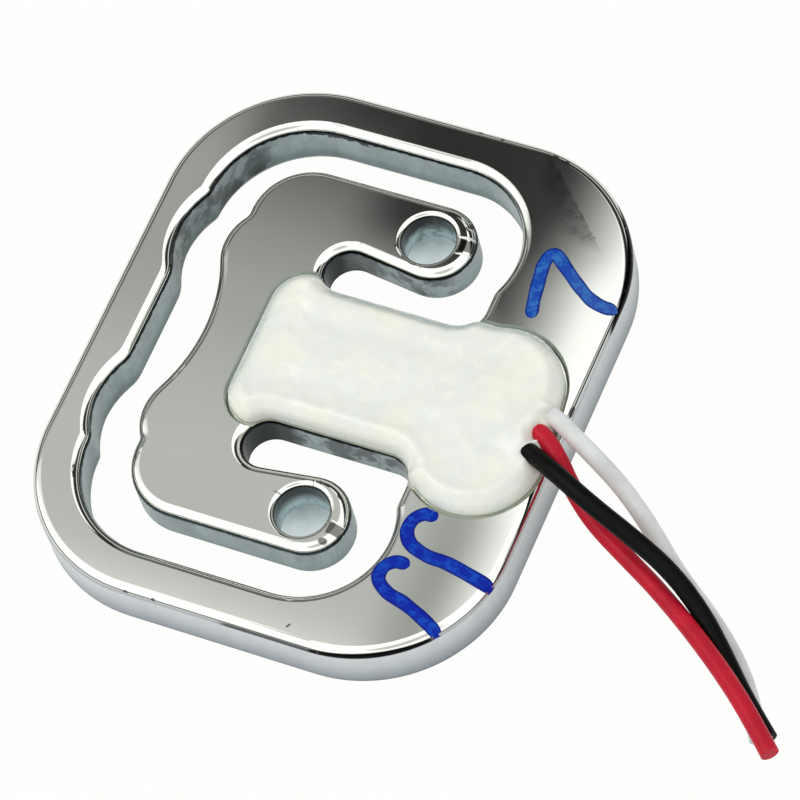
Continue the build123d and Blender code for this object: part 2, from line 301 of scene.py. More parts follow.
class Graph:
    # Writes the nodes of a material or of the studio as short sums. A value that it takes is a
    # number, a colour or what another node gives.

    def __init__(self, tree):
        self.tree = tree
        tree.nodes.clear()

    def new(self, kind, **settings):
        made = self.tree.nodes.new(kind)
        for name, value in settings.items():
            setattr(made, name, value)
        return made

    def feed(self, socket, value):
        if isinstance(value, (int, float)):
            socket.default_value = value
        elif hasattr(value, "__len__"):
            socket.default_value = (*value, 1.0)
        else:
            self.tree.links.new(value, socket)

    def math(self, operation, *values, clamp=False):
        made = self.new("ShaderNodeMath", operation=operation, use_clamp=clamp)
        for socket, value in zip(made.inputs, values):
            self.feed(socket, value)
        return made.outputs[0]

    def add(self, a, b, clamp=False):
        return self.math("ADD", a, b, clamp=clamp)

    def less(self, a, b):
        return self.math("SUBTRACT", a, b)

    def times(self, product, *others):
        for other in others:
            product = self.math("MULTIPLY", product, other)
        return product

    def times_add(self, a, b, c, clamp=False):
        return self.math("MULTIPLY_ADD", a, b, c, clamp=clamp)

    def most(self, a, b):
        return self.math("MAXIMUM", a, b)

    def size(self, a):
        return self.math("ABSOLUTE", a)

    def squares(self, a, b):
        return self.times_add(a, a, self.times(b, b))

    def smooth(self, value, low, high, start=0.0, end=1.0):
        # From start to end, softly, while the value goes from low to high
        made = self.new("ShaderNodeMapRange", interpolation_type="SMOOTHERSTEP")
        self.feed(made.inputs["Value"], value)
        made.inputs["From Min"].default_value = low
        made.inputs["From Max"].default_value = high
        made.inputs["To Min"].default_value = start
        made.inputs["To Max"].default_value = end
        return made.outputs["Result"]

    def mix(self, share, a, b):
        made = self.new("ShaderNodeMix")
        for k, value in ((0, share), (2, a), (3, b)):
            self.feed(made.inputs[k], value)
        return made.outputs[0]

    def mix_colour(self, share, a, b):
        made = self.new("ShaderNodeMix", data_type="RGBA")
        for k, value in ((0, share), (6, a), (7, b)):
            self.feed(made.inputs[k], value)
        return made.outputs[2]

    def ramp(self, value, stops):
        made = self.new("ShaderNodeValToRGB")
        self.feed(made.inputs[0], value)
        elements = made.color_ramp.elements
        while len(elements) > 1:
            elements.remove(elements[-1])
        for k, (position, colour) in enumerate(stops):
            element = elements.new(position) if k else elements[0]
            element.position = position
            if not hasattr(colour, "__len__"):
                colour = (colour, colour, colour)
            element.color = (*colour, 1.0)
        return made.outputs[0]

    def coordinates(self):
        return self.new("ShaderNodeTexCoord").outputs["Object"]

    def parts(self, vector):
        split = self.new("ShaderNodeSeparateXYZ")
        self.feed(split.inputs[0], vector)
        return list(split.outputs)

    def millimetres(self):
        return [self.times(part, 1000.0) for part in self.parts(self.coordinates())]

    def normal(self):
        return self.new("ShaderNodeNewGeometry").outputs["Normal"]

    def share_of(self, vector, way):
        made = self.new("ShaderNodeVectorMath", operation="DOT_PRODUCT")
        self.feed(made.inputs[0], vector)
        made.inputs[1].default_value = way
        return made.outputs["Value"]

    def noise(self, place, scale, detail=3.0, roughness=0.5):
        made = self.new("ShaderNodeTexNoise")
        self.feed(made.inputs["Vector"], place)
        made.inputs["Scale"].default_value = scale
        made.inputs["Detail"].default_value = detail
        made.inputs["Roughness"].default_value = roughness
        return made.outputs["Fac"]

    def mottled(self, cloud, low, high, share, colour):
        # A colour with darker clouds, that have the given share of its light
        dark = [c * share for c in colour]
        return self.mix_colour(self.ramp(cloud, [(low, 0.0), (high, 1.0)]), dark, colour)

    def bump(self, shader, height, distance):
        made = self.new("ShaderNodeBump")
        made.inputs["Distance"].default_value = distance
        made.inputs["Strength"].default_value = 1.0
        self.feed(made.inputs["Height"], height)
        self.feed(shader.inputs["Normal"], made.outputs[0])


def new_material(name):
    made = bpy.data.materials.new(name)
    made.use_nodes = True
    g = Graph(made.node_tree)
    g.end = g.new("ShaderNodeOutputMaterial").inputs[0]
    shader = g.new("ShaderNodeBsdfPrincipled")
    g.feed(g.end, shader.outputs[0])
    return made, g, shader


def finish_piece(piece, material):
    piece.data.materials.clear()
    piece.data.materials.append(material)
    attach(piece, "root")


def dress(name, material):
    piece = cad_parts[name]
    piece.data.materials.clear()
    piece.data.materials.append(material)


class SheetPlace:
    # Where a point of the sheet lies, in millimetres, and which way it faces

    def __init__(self, g):
        self.place = g.coordinates()
        self.x, self.y, self.z = g.millimetres()
        self.upward = g.parts(g.normal())[2]
        # How far beyond the corners' middles, the square of that distance, and 1 on the outline
        self.beyond_x = g.most(g.less(g.size(self.x), CORNER[0]), 0.0)
        self.beyond_y = g.most(g.less(g.size(self.y), CORNER[1]), 0.0)
        self.beyond = g.squares(self.beyond_x, self.beyond_y)
        self.outside = g.smooth(self.beyond, 56.0, 62.0)
        # Place from the middle of the nearer hole, and 1 in it
        self.hole_x = g.less(self.x, HOLE[0])
        self.hole_y = g.times_add(g.math("SIGN", self.y), -HOLE[1], self.y)
        from_hole = g.math("SQRT", g.squares(self.hole_x, self.hole_y))
        self.in_hole = g.smooth(from_hole, 2.2, 1.9)


def wall_wear_and_painted_shade(g, at, streak):
    # How much of their colour the sheared walls keep: streaks and blotches of wear, and painted
    # shade round the slot's two ends and down the holes
    blotch = g.noise(at.place, 700.0, 3.0, 0.6)
    inner_streaks = g.smooth(streak, 0.34, 0.64, 0.93, 1.04)
    outer_streaks = g.smooth(streak, 0.34, 0.64, 0.97, 1.015)
    streaks = g.mix(at.outside, inner_streaks, outer_streaks)
    # The slot's wall gets rough dark blotches beside the beam and is darker far left; round its
    # two ends it is painted nearly black as shade
    inside = g.smooth(g.size(at.y), 8.2, 6.4)
    beside = g.times(g.smooth(at.x, -4.6, -2.8), inside)
    ends = g.times(g.smooth(at.x, -4.6, -3.4), g.smooth(at.x, 0.2, -1.2), inside)
    far_left = g.times(g.smooth(at.x, -8.8, -10.4), g.smooth(at.y, 2.0, 4.5))
    calm = g.smooth(blotch, 0.36, 0.60, 0.92, 1.04)
    harsh = g.smooth(blotch, 0.40, 0.58, 0.34, 1.05)
    wear_and_painted_shade = g.mix(beside, calm, harsh)
    wear_and_painted_shade = g.mix(far_left, wear_and_painted_shade, g.smooth(blotch, 0.38, 0.62, 0.30, 0.75))
    # Painted shade: the slot's two ends nearly black
    wear_and_painted_shade = g.mix(ends, wear_and_painted_shade, 0.13)
    # The two holes: painted shade, dark under the rolled edge and paler lower down
    deep = g.smooth(at.z, 1.3, 2.6, 1.3, 0.14)
    deep = g.times(deep, g.smooth(blotch, 0.40, 0.60, 0.62, 1.25))
    wear_and_painted_shade = g.mix(at.in_hole, wear_and_painted_shade, deep)
    return g.times(streaks, g.mix(at.outside, wear_and_painted_shade, 1.0))


def beaded_painted_dark_line(g, at):
    # A painted dark line standing for a reflection, where the slot's wall meets its rolled edge,
    # broad at the far left corner
    broad = g.times(g.smooth(at.x, -8.2, -6.6), g.smooth(at.x, -2.2, -4.6))
    broad = g.times(g.smooth(at.y, 12.2, 13.0), broad)
    beads = g.smooth(g.noise(at.place, 2100.0, 2.0, 0.5), 0.36, 0.60)
    low = g.mix(broad, g.times_add(beads, -0.10, 2.86), g.times_add(beads, -0.28, 2.72))
    line = g.times(g.smooth(g.less(at.z, low), -0.04, 0.03), g.smooth(at.z, 3.04, 2.96))
    line = g.times(line, g.less(1.0, g.most(at.outside, at.in_hole)))
    return g.times(line, g.smooth(at.y, -12.6, -9.8, 0.45, 1.0))


def sheared_wall_and_painted_light(g, at, streak, top):
    # Duller and bluer towards the bottom, the slot's wall more than the outline's: a blue-grey
    # sheared wall with painted shade near the floor and in the slot
    up = g.math("DIVIDE", at.z, top, clamp=True)
    colour = g.mix_colour(at.outside, g.ramp(up, SLOT_WALL_PAINTED_SHADE), g.ramp(up, OUTER_WALL_PAINTED_SHADE))
    worn_and_shaded = g.new("ShaderNodeVectorMath", operation="SCALE")
    g.feed(worn_and_shaded.inputs[0], colour)
    g.feed(worn_and_shaded.inputs["Scale"], wall_wear_and_painted_shade(g, at, streak))
    # Painted dark reflection: a beaded line where the wall meets its rolled edge
    line = g.times(beaded_painted_dark_line(g, at), 0.9)
    colour = g.mix_colour(line, worn_and_shaded.outputs[0], (0.012, 0.012, 0.012))
    # A pale glint on the far wall of each hole
    glint = g.smooth(g.add(at.hole_x, at.hole_y), 1.95, 2.12)
    glint = g.times(glint, g.smooth(at.z, 1.35, 1.7), g.smooth(at.z, 2.6, 2.3), at.in_hole)
    return g.mix_colour(g.times(glint, 0.6), colour, (0.80, 0.86, 0.87))


def painted_dark_roll_band(g, at):
    # Painted dark reflection where the outline's edge rolls over: a narrow band, deeper round
    # three of the corners
    angle = g.math("DEGREES", g.math("ARCTAN2", at.beyond_y, at.beyond_x))
    roll = 0.0
    for side_x, side_y, middle, half, depth in PAINTED_ROLL_BANDS:
        here = g.smooth(at.x, 0.0, side_x)
        here = g.times(here, g.smooth(at.y, 6.0 * side_y, 10.0 * side_y))
        off = g.times_add(angle, 1 / half, -middle / half)
        bell = g.most(g.times_add(g.times(off, off), -1.0, 1.0), 0.0)
        roll = g.most(g.times(here, bell, depth), roll)
    near_side = g.most(g.smooth(at.x, 8.0, 12.0), g.smooth(at.y, -11.0, -14.0))
    roll = g.times_add(near_side, 0.035, roll)
    dark_band = g.smooth(g.add(g.math("SQRT", at.beyond), roll), 8.43, 8.49)
    dark_band = g.times(dark_band, g.smooth(at.upward, 0.04, 0.20))
    pits = g.smooth(g.noise(at.place, 2600.0, 2.0, 0.5), 0.24, 0.34, 0.6, 1.0)
    return g.times(dark_band, g.times(pits, g.smooth(roll, 0.02, 0.06)))


def ragged_painted_reflection(g, at):
    # A finely pitted field of painted dark reflection that ends in a ragged, slanting line at the
    # far right corner
    ragged = g.noise(at.place, 2300.0, 3.0, 0.65)
    past = g.add(at.x, g.times_add(at.y, 1.0217, -23.4835))
    past = g.add(past, g.times_add(ragged, 0.5, -0.25))
    painted_dark_field = g.times(g.smooth(past, 0.10, -0.08), g.smooth(past, -3.2, -0.4))
    painted_dark_field = g.times(painted_dark_field, g.smooth(at.y, 11.0, 12.3), g.smooth(at.x, 6.0, 7.6))
    return g.times(painted_dark_field, g.smooth(ragged, 0.30, 0.62, 0.62, 0.36))


def mark_mask(g, at, middle_x, middle_y, half_x, half_y, turn, square):
    # 1 inside a soft-edged oval or rectangle on the top face
    dx = g.less(at.x, middle_x)
    dy = g.less(at.y, middle_y)
    c = math.cos(math.radians(turn))
    s = math.sin(math.radians(turn))
    u = g.times_add(dx, c / half_x, g.times(dy, s / half_x))
    v = g.times_add(dx, -s / half_y, g.times(dy, c / half_y))
    if square:
        return g.smooth(g.most(g.size(u), g.size(v)), 1.1, 0.9)
    return g.smooth(g.squares(u, v), 1.5, 0.5)


def marks_and_painted_highlights(g, at):
    dark = 0.0
    bright = 0.0
    for *place, kind in MARKS:
        mask = mark_mask(g, at, *place, kind == "panel")
        if kind == "bright":
            bright = g.most(mask, bright)
        else:
            dark = g.most(mask, dark)
    flat = g.smooth(at.upward, 0.35, 0.6)
    return g.times(dark, g.times(flat, 0.82)), g.times(bright, flat)


def steel_material():
    values = bpy.context.scene.load_cell_plate
    made, g, shader = new_material("bright_steel")
    at = SheetPlace(g)
    cloud = g.noise(at.place, 260.0, 4.0, 0.6)
    grain = g.noise(at.place, 2400.0, 3.0, 0.6)
    stretch = g.new("ShaderNodeMapping", vector_type="TEXTURE")
    stretch.inputs["Scale"].default_value = (1 / 1500, 1 / 1500, 1 / 240)
    g.feed(stretch.inputs["Vector"], at.place)
    streak = g.noise(stretch.outputs[0], 1.0, 4.0, 0.65)

    top = g.mottled(cloud, 0.3, 0.7, 0.975, values.steel)
    wall = g.smooth(at.upward, 0.62, 0.40)
    dark, bright = marks_and_painted_highlights(g, at)
    # Walls in their own colour with painted shade, a painted dark line and a painted glint
    colour = g.mix_colour(wall, top, sheared_wall_and_painted_light(g, at, streak, values.top / MM))
    # Painted dark reflection at the far right corner
    colour = g.mix_colour(ragged_painted_reflection(g, at), colour, (0.10, 0.105, 0.10))
    colour = g.mix_colour(dark, colour, (0.05, 0.05, 0.05))
    # Painted highlights from the bright ovals
    colour = g.mix_colour(bright, colour, (0.97, 0.97, 0.95))
    # Painted dark reflection in a narrow band on the rolled edge
    colour = g.mix_colour(painted_dark_roll_band(g, at), colour, (0.008, 0.008, 0.008))
    g.feed(shader.inputs["Base Color"], colour)

    rough = g.times_add(cloud, 0.016, values.gloss - 0.008)
    rough = g.mix(wall, rough, 0.25)
    rough = g.mix(bright, rough, 0.55)
    g.feed(shader.inputs["Roughness"], rough)
    g.feed(shader.inputs["Metallic"], 1.0)
    g.bump(shader, g.times(wall, g.times_add(grain, 0.25, streak)), 0.00003)
    return made


def sealant_material():
    values = bpy.context.scene.load_cell_sealant
    made, g, shader = new_material("cured_sealant")
    place = g.coordinates()
    x, y, z = g.millimetres()
    cloud = g.noise(place, 330.0, 3.0, 0.55)
    fine = g.noise(place, 2600.0, 3.0, 0.6)
    speck = g.noise(place, 1300.0, 3.0, 0.6)
    cool = [values.colour[0] * 0.945, values.colour[1] * 0.97, values.colour[2] * 1.02]
    pale = [min(1.0, c * 1.025) for c in values.colour]
    steel_grey = (0.50, 0.57, 0.55)
    colour = g.mix_colour(g.smooth(cloud, 0.38, 0.62), cool, values.colour)
    colour = g.mix_colour(g.smooth(speck, 0.55, 0.72), colour, pale)
    # Where it thins out low down it greys towards the steel, partly the steel showing through and
    # partly painted shade on slopes facing the far side; its left end greys a little too
    faces_far_painted_shade = g.smooth(g.share_of(g.normal(), (*FAR_WAY, 0.0)), -0.1, 0.5, 0.14, 0.78)
    thin_and_shaded = g.times(g.smooth(z, 4.2, 3.5), faces_far_painted_shade, g.smooth(speck, 0.2, 0.7, 0.75, 1.2))
    colour = g.mix_colour(thin_and_shaded, colour, steel_grey)
    colour = g.mix_colour(g.smooth(x, -3.2, -4.6, 0.0, 0.16), colour, steel_grey)
    g.feed(shader.inputs["Base Color"], colour)
    g.feed(shader.inputs["Roughness"], 0.26)
    g.feed(shader.inputs["Specular IOR Level"], 0.5)
    g.feed(shader.inputs["Subsurface Weight"], 0.3)
    shader.inputs["Subsurface Radius"].default_value = (1.0, 0.95, 0.75)
    g.feed(shader.inputs["Subsurface Scale"], 0.0005)
    g.bump(shader, g.times_add(speck, 2.6, fine), 0.000016)
    return made


def sleeve_material(name, colour, shine):
    made, g, shader = new_material(name)
    place = g.coordinates()
    cloud = g.noise(place, 700.0, 3.0, 0.55)
    fine = g.noise(place, 4200.0, 2.0, 0.6)
    g.feed(shader.inputs["Base Color"], g.mottled(cloud, 0.35, 0.65, 0.84, colour))
    g.feed(shader.inputs["Roughness"], 0.42)
    g.feed(shader.inputs["Specular IOR Level"], shine)
    g.bump(shader, fine, 0.00002)
    return made


def ink_material():
    values = bpy.context.scene.load_cell_ink
    made, g, shader = new_material("marker_ink")
    x, y, z = g.millimetres()
    cloud = g.noise(g.coordinates(), 1900.0, 3.0, 0.65)
    across = g.parts(g.new("ShaderNodeUVMap", uv_map="stroke").outputs[0])[1]
    rim = g.smooth(g.size(g.less(across, 0.5)), 0.28, 0.46)
    pale = [min(1.0, c * 1.2 + k) for c, k in zip(values.colour, (0.004, 0.05, 0.08))]
    deep = [c * 0.5 for c in values.colour]
    # The tick is thinner ink than the hooks, and fades towards the sheet's edge
    tick = g.smooth(y, 0.0, 1.0)
    faded = g.times(tick, g.smooth(x, 9.6, 12.4, 0.0, 0.22), g.smooth(cloud, 0.35, 0.6, 0.5, 1.2))
    body = g.mix_colour(g.times(tick, 0.75), values.colour, (0.010, 0.080, 0.44))
    body = g.mix_colour(faded, body, (0.15, 0.26, 0.52))
    light = g.mix_colour(tick, pale, (0.035, 0.17, 0.52))
    colour = g.mix_colour(g.smooth(cloud, 0.42, 0.66), body, light)
    colour = g.mix_colour(g.times(rim, 0.8), colour, deep)
    g.feed(shader.inputs["Base Color"], colour)
    g.feed(shader.inputs["Roughness"], 0.35)
    g.feed(shader.inputs["Specular IOR Level"], 0.1)
    g.bump(shader, cloud, 0.00001)
    return made


def metal_material(name, colour, rough, grain=1800.0):
    made, g, shader = new_material(name)
    cloud = g.noise(g.coordinates(), grain, 3.0, 0.6)
    g.feed(shader.inputs["Base Color"], g.mottled(cloud, 0.3, 0.7, 0.8, colour))
    g.feed(shader.inputs["Metallic"], 1.0)
    g.feed(shader.inputs["Roughness"], rough)
    g.bump(shader, cloud, 0.000004)
    return made


def resin_material(name, colour):
    made, g, shader = new_material(name)
    cloud = g.noise(g.coordinates(), 900.0, 3.0, 0.5)
    g.feed(shader.inputs["Base Color"], g.mottled(cloud, 0.3, 0.7, 0.82, colour))
    g.feed(shader.inputs["Roughness"], 0.25)
    g.bump(shader, cloud, 0.000004)
    return made


def floor_material():
    # Pale paper that looks evenly bright to the camera, as in a light tent
    values = bpy.context.scene.load_cell_stage
    made, g, shader = new_material("floor_paper")
    place = g.coordinates()
    x, y, z = g.millimetres()
    shade = [c * 0.99 for c in values.floor]
    grain = g.noise(place, 900.0, 2.0, 0.5)
    g.feed(shader.inputs["Base Color"], g.mix_colour(grain, shade, values.floor))
    g.feed(shader.inputs["Roughness"], 1.0)
    g.feed(shader.inputs["Specular IOR Level"], 0.0)
    # Painted shadow on the floor under each hole, where the sheet's shade falls, deeper on the far
    # side
    painted_hole_shadow = 0.0
    for hole_y in (HOLE[1], -HOLE[1]):
        dx = g.less(x, 1.0)
        dy = g.less(y, hole_y + 1.5)
        depth = g.times_add(dx, -0.305, g.times(dy, 0.952))
        depth = g.smooth(depth, -2.0, 0.9, 0.42, 0.84)
        depth = g.times(depth, g.smooth(g.squares(dx, dy), 4.5, 3.1))
        painted_hole_shadow = g.most(depth, painted_hole_shadow)
    speck = g.smooth(g.noise(place, 1500.0, 3.0, 0.65), 0.3, 0.7, 0.94, 1.06)
    ray = g.new("ShaderNodeLightPath")
    seen = g.times(g.less(0.98, g.times(painted_hole_shadow, speck)), ray.outputs["Is Camera Ray"])
    mirrored = g.times(ray.outputs["Is Glossy Ray"], 0.4)
    glow = g.new("ShaderNodeEmission")
    g.feed(glow.inputs["Strength"], 1.0)
    g.feed(glow.inputs["Color"], g.mix_colour(painted_hole_shadow, (1.0, 1.0, 0.985), (0.74, 0.97, 1.0)))
    blend = g.new("ShaderNodeMixShader")
    g.feed(blend.inputs[0], g.add(seen, mirrored, clamp=True))
    g.feed(blend.inputs[1], shader.outputs[0])
    g.feed(blend.inputs[2], glow.outputs[0])
    g.feed(g.end, blend.outputs[0])
    return made


def noise_at(*place):
    return noise.noise(Vector(place))


def soft_step(value):
    value = min(1.0, max(0.0, value))
    return value * value * (3 - 2 * value)


def relax(work, rounds):
    for _ in range(rounds):
        bmesh.ops.smooth_vert(
            work, verts=work.verts, factor=0.5, use_axis_x=True, use_axis_y=True, use_axis_z=True
        )


def smooth_line(points, step):
    # Even points along a Catmull-Rom curve through the given ones
    dense = []
    for k in range(len(points) - 1):
        a = points[max(k - 1, 0)]
        b = points[k]
        c = points[k + 1]
        d = points[min(k + 2, len(points) - 1)]
        square = 2 * a - 5 * b + 4 * c - d
        cube = 3 * b - a - 3 * c + d
        for n in range(24):
            t = n / 24
            dense.append(0.5 * ((2 * b) + (c - a) * t + square * t**2 + cube * t**3))
    dense.append(points[-1])
    line = [dense[0]]
    gone = 0.0
    for a, b in zip(dense, dense[1:]):
        gone += (b - a).length
        if gone >= step:
            line.append(b)
            gone = 0.0
    return line


def ribbon_faces(first, total, across):
    # Closed skin of a ribbon whose vertices go in pairs, upper and lower, row by row
    def at(k, j, low):
        return first + 2 * (k * across + j) + low

    faces = []
    for k in range(total):
        for j in range(across - 1):
            faces.append([at(k, j, 0), at(k, j + 1, 0), at(k + 1, j + 1, 0), at(k + 1, j, 0)])
            faces.append([at(k, j, 1), at(k + 1, j, 1), at(k + 1, j + 1, 1), at(k, j + 1, 1)])
        for j in (0, across - 1):
            faces.append([at(k, j, 0), at(k + 1, j, 0), at(k + 1, j, 1), at(k, j, 1)])
    for k in (0, total):
        for j in range(across - 1):
            faces.append([at(k, j, 0), at(k, j, 1), at(k, j + 1, 1), at(k, j + 1, 0)])
    return faces


class LOADCELL_OT_stage(bpy.types.Operator):
    """Makes the floor, the studio's light and the camera"""

    bl_idname = "loadcell.stage"
    bl_label = "Stage"

    def execute(self, context):
        scene = context.scene
        self.floor(scene)
        self.studio(scene)
        self.window(scene)
        self.camera(scene)
        scene.view_settings.view_transform = "Standard"
        return {"FINISHED"}

    def floor(self, scene):
        size = 1.5
        below = -0.00002
        corners = [(-size, -size), (size, -size), (size, size), (-size, size)]
        mesh = bpy.data.meshes.new("floor")
        mesh.from_pydata([(x, y, below) for x, y in corners], [], [(0, 1, 2, 3)])
        mesh.materials.append(floor_material())
        floor = bpy.data.objects.new("floor", mesh)
        scene.collection.objects.link(floor)

    def window(self, scene):
        lamp = bpy.data.lights.new("window", "AREA")
        lamp.shape = "RECTANGLE"
        lamp.size = 0.25
        lamp.size_y = 0.18
        lamp.energy = 0.40
        window = bpy.data.objects.new("window", lamp)
        place = Vector((-0.22, -0.10, 0.36))
        turn = place.to_track_quat("Z", "Y").to_matrix().to_4x4()
        window.matrix_world = Matrix.Translation(place) @ turn
        scene.collection.objects.link(window)

    def camera(self, scene):
        camera = bpy.data.cameras.new("camera")
        camera.lens = CAMERA_LENS
        camera.sensor_width = 36.0
        camera.sensor_fit = "HORIZONTAL"
        camera.clip_start = 0.01
        camera.clip_end = 10.0
        viewer = bpy.data.objects.new("camera", camera)
        turn = Matrix(CAMERA_WAYS).transposed().to_4x4()
        viewer.matrix_world = Matrix.Translation(CAMERA_PLACE) @ turn
        scene.collection.objects.link(viewer)
        scene.camera = viewer

    def studio(self, scene):
        # A white room with a soft grey panel overhead, behind the object
        world = bpy.data.worlds.new("studio")
        scene.world = world
        world.use_nodes = True
        g = Graph(world.node_tree)
        back = g.new("ShaderNodeBackground")
        g.feed(g.new("ShaderNodeOutputWorld").inputs[0], back.outputs[0])
        way = g.new("ShaderNodeTexCoord").outputs["Generated"]
        way_x, way_y, way_z = g.parts(way)
        # Where each direction meets the ceiling, in millimetres, right and back from the sheet
        height = g.most(way_z, 0.02)
        across = g.times_add(g.math("DIVIDE", way_x, height), CEILING, ROOM_MIDDLE[0])
        along = g.times_add(g.math("DIVIDE", way_y, height), CEILING, ROOM_MIDDLE[1])
        depth = g.times_add(along, 1 / 60, 0.5, clamp=True)
        shade = g.add(g.ramp(depth, CEILING_SHADES), g.smooth(along, -30.0, -85.0, 0.0, 0.25))
        faint = g.times(g.smooth(across, -3.0, -10.0), g.smooth(along, 10.0, 14.0))
        shade = g.times_add(faint, 0.055, g.times(shade, 1.5))
        # A dim patch overhead, its edge slanting towards the leads' side
        slant = g.times_add(g.most(across, 0.0), 0.45, along)
        patch = g.times(g.smooth(across, -4.5, 0.5), g.smooth(slant, 6.2, 10.6))
        shade = g.mix(patch, shade, 0.04)
        corner = g.times(g.smooth(across, 7.3, 11.6), g.smooth(along, -2.5, -7.0))
        shade = g.times(shade, g.times_add(corner, -0.42, 1.0))
        # Paler towards the far left
        left = g.times(g.ramp(depth, LEFT_SHADES), g.smooth(across, -8.0, -12.5))
        shade = g.most(shade, left)
        # White wall on the leads' side
        shifted = g.times_add(g.smooth(along, -2.0, -8.0), -1.5, across)
        shifted = g.add(shifted, g.smooth(along, 8.2, 12.0, 0.65, -0.25))
        wall = g.ramp(g.times_add(shifted, 1 / 16, 0.0, clamp=True), WALL_SHADES)
        shade = g.most(shade, g.times(wall, 1.6, g.smooth(along, 90.0, 28.0)))
        # The dark round of the viewer, and the dark line of the horizon
        viewer = g.smooth(g.share_of(way, CAMERA_WAYS[2]), 0.935, 0.985)
        shade = g.mix(g.times(viewer, 0.6), shade, 0.3)
        skirt = g.smooth(way_z, 0.30, 0.14)
        shade = g.mix(g.times(skirt, 0.9), shade, 0.06)
        # Far behind, a light strip over the dark
        strip = g.times(g.smooth(way_z, 0.28, 0.42), g.smooth(way_z, 0.55, 0.46))
        strip = g.times(strip, g.smooth(along, 20.0, 60.0), 0.9)
        shade = g.most(shade, strip)
        # Matt surfaces get an even light, and the camera sees plain white
        ray = g.new("ShaderNodeLightPath")
        shade = g.mix(ray.outputs["Is Diffuse Ray"], shade, 0.90)
        shade = g.mix(ray.outputs["Is Camera Ray"], shade, 1.0)
        g.feed(back.inputs["Strength"], shade)


class LOADCELL_OT_leads(bpy.types.Operator):
    """Lays the three free leads along their routes"""

    bl_idname = "loadcell.leads"
    bl_label = "Leads"

    def execute(self, context):
        values = context.scene.load_cell_leads
        for colour, route in ROUTES.items():
            name = "sleeve_" + colour
            curve = bpy.data.curves.new(name, "CURVE")
            curve.dimensions = "3D"
            curve.resolution_u = 12
            curve.bevel_depth = values.diameter / 2
            curve.bevel_resolution = 8
            curve.use_fill_caps = True
            spline = curve.splines.new("NURBS")
            spline.points.add(len(route) - 1)
            for point, place in zip(spline.points, route):
                point.co = (*[v * MM for v in place], 1.0)
            spline.order_u = 3
            spline.use_endpoint_u = True
            piece = bpy.data.objects.new(name, curve)
            context.scene.collection.objects.link(piece)
            material = sleeve_material(name, getattr(values, colour), SHINE[colour])
            finish_piece(piece, material)
            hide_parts("lead_" + colour)
        return {"FINISHED"}


class LOADCELL_OT_plate(bpy.types.Operator):
    """Gives the steel sheet its bright plated finish"""

    bl_idname = "loadcell.plate"
    bl_label = "Steel Sheet"

    def execute(self, context):
        dress("steel_plate", steel_material())
        return {"FINISHED"}


class LOADCELL_OT_gauge(bpy.types.Operator):
    """Finishes the bonded gauge, the solder joints and the bare cores under the sealant"""

    bl_idname = "loadcell.gauge"
    bl_label = "Gauge And Joints"

    def execute(self, context):
        dress("gauge_bond", resin_material("bond_resin", (0.62, 0.44, 0.18)))
        dress("gauge_backing", resin_material("gauge_backing", (0.55, 0.33, 0.08)))
        dress("gauge_film", resin_material("gauge_film", (0.60, 0.38, 0.12)))
        dress("gauge_foil", metal_material("gauge_foil", (0.66, 0.60, 0.50), 0.35))
        solder = metal_material("solder", (0.72, 0.72, 0.72), 0.3)
        core = metal_material("tinned_core", (0.78, 0.74, 0.70), 0.35, 2600.0)
        for colour in ROUTES:
            dress("solder_" + colour, solder)
            dress("core_" + colour, core)
        return {"FINISHED"}


